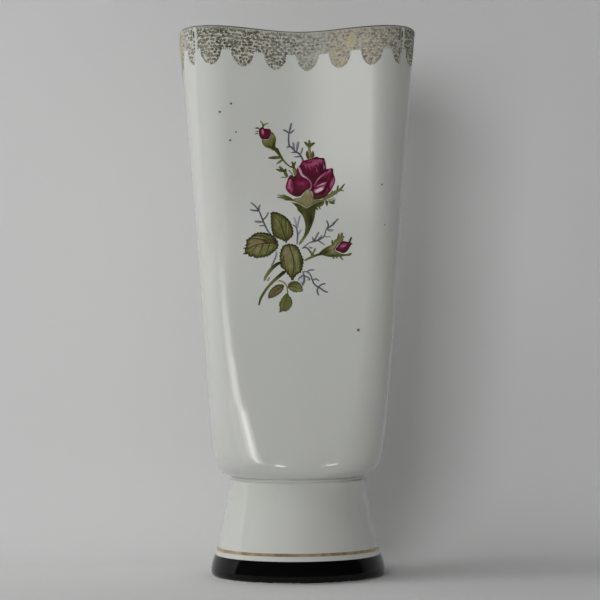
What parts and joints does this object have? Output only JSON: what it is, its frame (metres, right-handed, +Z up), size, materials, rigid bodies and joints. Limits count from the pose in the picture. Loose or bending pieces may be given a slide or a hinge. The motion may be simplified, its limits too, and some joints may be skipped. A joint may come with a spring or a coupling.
{
  "type": "flower vase",
  "caption": "Tall four-sided tapered porcelain vase with a wavy gilded rim, lace border, moss-rose spray and a round flared foot with a black base band.",
  "frame": {"origin": "centre of the flat ring that the foot stands on", "axes": "+Z up through the mouth; the side with the rose spray faces -Y; +X to the right of a person looking at that side"},
  "size_m": [0.0924, 0.0924, 0.215],
  "materials": {
    "porcelain": "glossy clear glaze over white porcelain",
    "black_enamel": "glossy black enamel, rubbed a little at its lower edge",
    "foot_gold": "worn burnished gold line",
    "rim_gold": "thin gilding, worn to olive in places",
    "lace_gold": "fine matt gold filigree",
    "rose_enamel": "shaded maroon to pale rose overglaze enamel",
    "crimson_enamel": "crimson overglaze enamel",
    "moss_enamel": "mottled olive overglaze enamel",
    "leaf_enamel": "olive leaf enamel with brown centre and dark edge",
    "slate_enamel": "thin slate-grey overglaze lines"
  },
  "bodies": {
    "root": {"vessel_body": "porcelain", "neck_slip_joint": "porcelain", "foot_pedestal": "porcelain", "black_base_band": "black_enamel", "gold_foot_line": "foot_gold", "rim_gilding": "rim_gold", "lace_band_front": "lace_gold", "lace_band_right": "lace_gold", "lace_band_back": "lace_gold", "lace_band_left": "lace_gold", "rose_bloom": "rose_enamel", "upper_bud_petals": "crimson_enamel", "side_bud_petals": "crimson_enamel", "rose_moss_crown": "moss_enamel", "rose_calyx_stem": "moss_enamel", "upper_bud_stem": "moss_enamel", "side_bud_stem": "moss_enamel", "leaf_upper": "leaf_enamel", "leaf_left": "leaf_enamel", "leaf_lower": "leaf_enamel", "leaflet_cluster": "leaf_enamel", "lower_stem": "moss_enamel", "sprig_top": "slate_enamel", "sprig_left": "slate_enamel", "sprig_centre": "slate_enamel", "sprig_right": "slate_enamel", "sprig_low_left": "slate_enamel", "sprig_low_right": "slate_enamel"}
  },
  "joints": []
}
